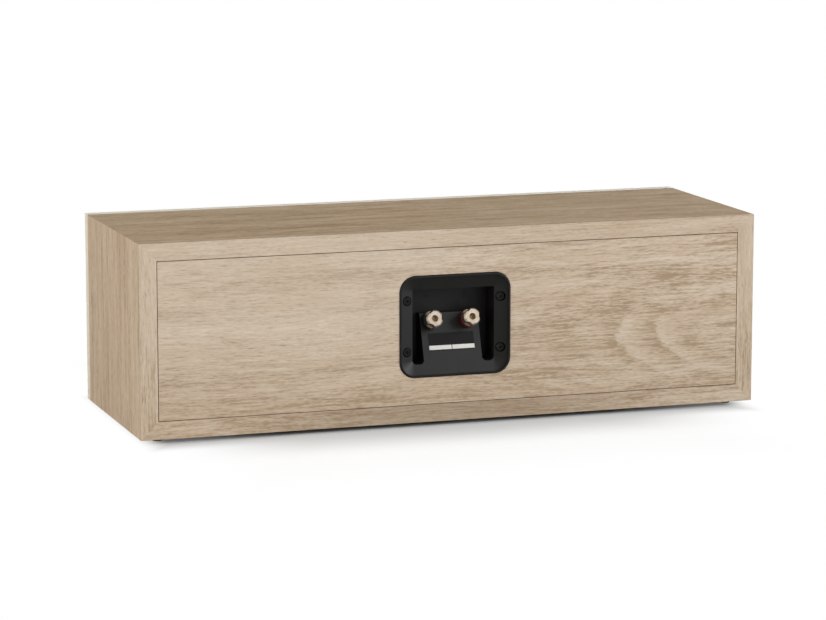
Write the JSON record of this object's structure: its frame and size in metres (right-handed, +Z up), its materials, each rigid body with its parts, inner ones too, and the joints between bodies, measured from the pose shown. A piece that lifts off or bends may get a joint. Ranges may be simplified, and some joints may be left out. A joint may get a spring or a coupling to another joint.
{
  "type": "loudspeaker",
  "caption": "Wide low loudspeaker in pale oak: mitred cabinet on small feet, cloth front grille over the drivers, and a recessed rear terminal cup with screw binding posts.",
  "frame": {"origin": "on the floor under the middle of the outer box, in the plane of the feet's undersides", "axes": "+X along the cabinet's length, +Y out of the rear face with the terminals, +Z up"},
  "size_m": [0.441, 0.1562, 0.135],
  "materials": {
    "baffle": "black, matt",
    "basket": "black powder coat",
    "black_screw": "blackened",
    "board": "laminate",
    "capacitor": "sleeved",
    "cloth": "pale woven cloth",
    "coil_former": "wound",
    "cone": "pressed fibre",
    "cup_plastic": "fine moulded texture",
    "dome": "coated weave",
    "dust_cap": "pressed fibre",
    "faceplate": "satin",
    "foot_rubber": "matt",
    "gold": "pale gold plate",
    "grille_frame": "moulded",
    "inductor": "enamelled wire",
    "label": "satin film",
    "label_field": "matt white",
    "lead": "sleeved wire",
    "magnet": "ferrite",
    "oak": "pale oak, satin",
    "plate_steel": "zinc plated",
    "resistor": "ceramic body",
    "ring_black": "black",
    "ring_red": "dark red",
    "seal_foam": "closed-cell foam",
    "socket_plastic": "matt",
    "spider": "impregnated weave",
    "standoff": "moulded",
    "surround": "satin",
    "wadding": "soft fibre"
  },
  "bodies": {
    "cabinet": {"cabinet_bottom": "oak", "cabinet_side_a": "oak", "cabinet_side_b": "oak", "cabinet_top": "oak", "crossover_board": "board", "crossover_capacitors": "capacitor", "crossover_inductors": "inductor", "crossover_resistor": "resistor", "crossover_standoffs": "standoff", "cup_screws": "black_screw", "cup_seal": "seal_foam", "damping_wadding": "wadding", "driver_leads": "lead", "feet": "foot_rubber", "front_baffle": "baffle", "grille_sockets": "socket_plastic", "input_leads": "lead", "label_fields": "label_field", "negative_post": "gold", "negative_ring": "ring_black", "positive_post": "gold", "positive_ring": "ring_red", "post_nuts": "gold", "rating_label": "label", "rear_panel": "oak", "solder_tags": "gold", "terminal_cup": "cup_plastic", "tweeter_dome": "dome", "tweeter_faceplate": "faceplate", "tweeter_front_plate": "plate_steel", "tweeter_magnet": "magnet", "tweeter_screws": "black_screw", "tweeter_voice_coil": "coil_former", "tweeter_yoke": "plate_steel", "woofer_a_basket": "basket", "woofer_a_front_plate": "plate_steel", "woofer_a_magnet": "magnet", "woofer_a_spider": "spider", "woofer_a_surround": "surround", "woofer_a_yoke": "plate_steel", "woofer_b_basket": "basket", "woofer_b_front_plate": "plate_steel", "woofer_b_magnet": "magnet", "woofer_b_spider": "spider", "woofer_b_surround": "surround", "woofer_b_yoke": "plate_steel", "woofer_screws": "black_screw"},
    "grille": {"grille_frame": "grille_frame", "grille_cloth": "cloth"},
    "woofer_a_moving": {"woofer_a_cone": "cone", "woofer_a_dust_cap": "dust_cap", "woofer_a_voice_coil": "coil_former"},
    "woofer_b_moving": {"woofer_b_cone": "cone", "woofer_b_dust_cap": "dust_cap", "woofer_b_voice_coil": "coil_former"},
    "positive_clamp": {"positive_washer": "gold"},
    "positive_grip": {"positive_knob": "gold"},
    "negative_clamp": {"negative_washer": "gold"},
    "negative_grip": {"negative_knob": "gold"}
  },
  "joints": [
    {"name": "grille_pull", "type": "slide", "parent": "cabinet", "child": "grille", "axis": [0, -1, 0], "range_m": [0, 0.05]},
    {"name": "woofer_a_stroke", "type": "slide", "parent": "cabinet", "child": "woofer_a_moving", "axis": [0, -1, 0], "range_m": [-0.004, 0.004], "stiffness_N_per_m": 800, "deforming": ["woofer_a_surround", "woofer_a_spider"]},
    {"name": "woofer_b_stroke", "type": "slide", "parent": "cabinet", "child": "woofer_b_moving", "axis": [0, -1, 0], "range_m": [-0.004, 0.004], "stiffness_N_per_m": 800, "deforming": ["woofer_b_surround", "woofer_b_spider"]},
    {"name": "positive_clamp_lift", "type": "slide", "parent": "cabinet", "child": "positive_clamp", "axis": [0, 0.9483, 0.3173], "range_m": [0, 0.003]},
    {"name": "positive_knob_turn", "type": "hinge", "parent": "positive_clamp", "child": "positive_grip", "pos_m": [-0.0135, 0.06764, 0.07147], "axis": [0, 0.9483, 0.3173], "range_deg": [0, 1080]},
    {"name": "negative_clamp_lift", "type": "slide", "parent": "cabinet", "child": "negative_clamp", "axis": [0, 0.9483, 0.3173], "range_m": [0, 0.003]},
    {"name": "negative_knob_turn", "type": "hinge", "parent": "negative_clamp", "child": "negative_grip", "pos_m": [0.0135, 0.06764, 0.07147], "axis": [0, 0.9483, 0.3173], "range_deg": [0, 1080]}
  ],
  "couplings": [
    {"joint": "positive_clamp_lift", "follows": "positive_knob_turn", "m_per_rad": 0.00015915},
    {"joint": "negative_clamp_lift", "follows": "negative_knob_turn", "m_per_rad": 0.00015915}
  ]
}
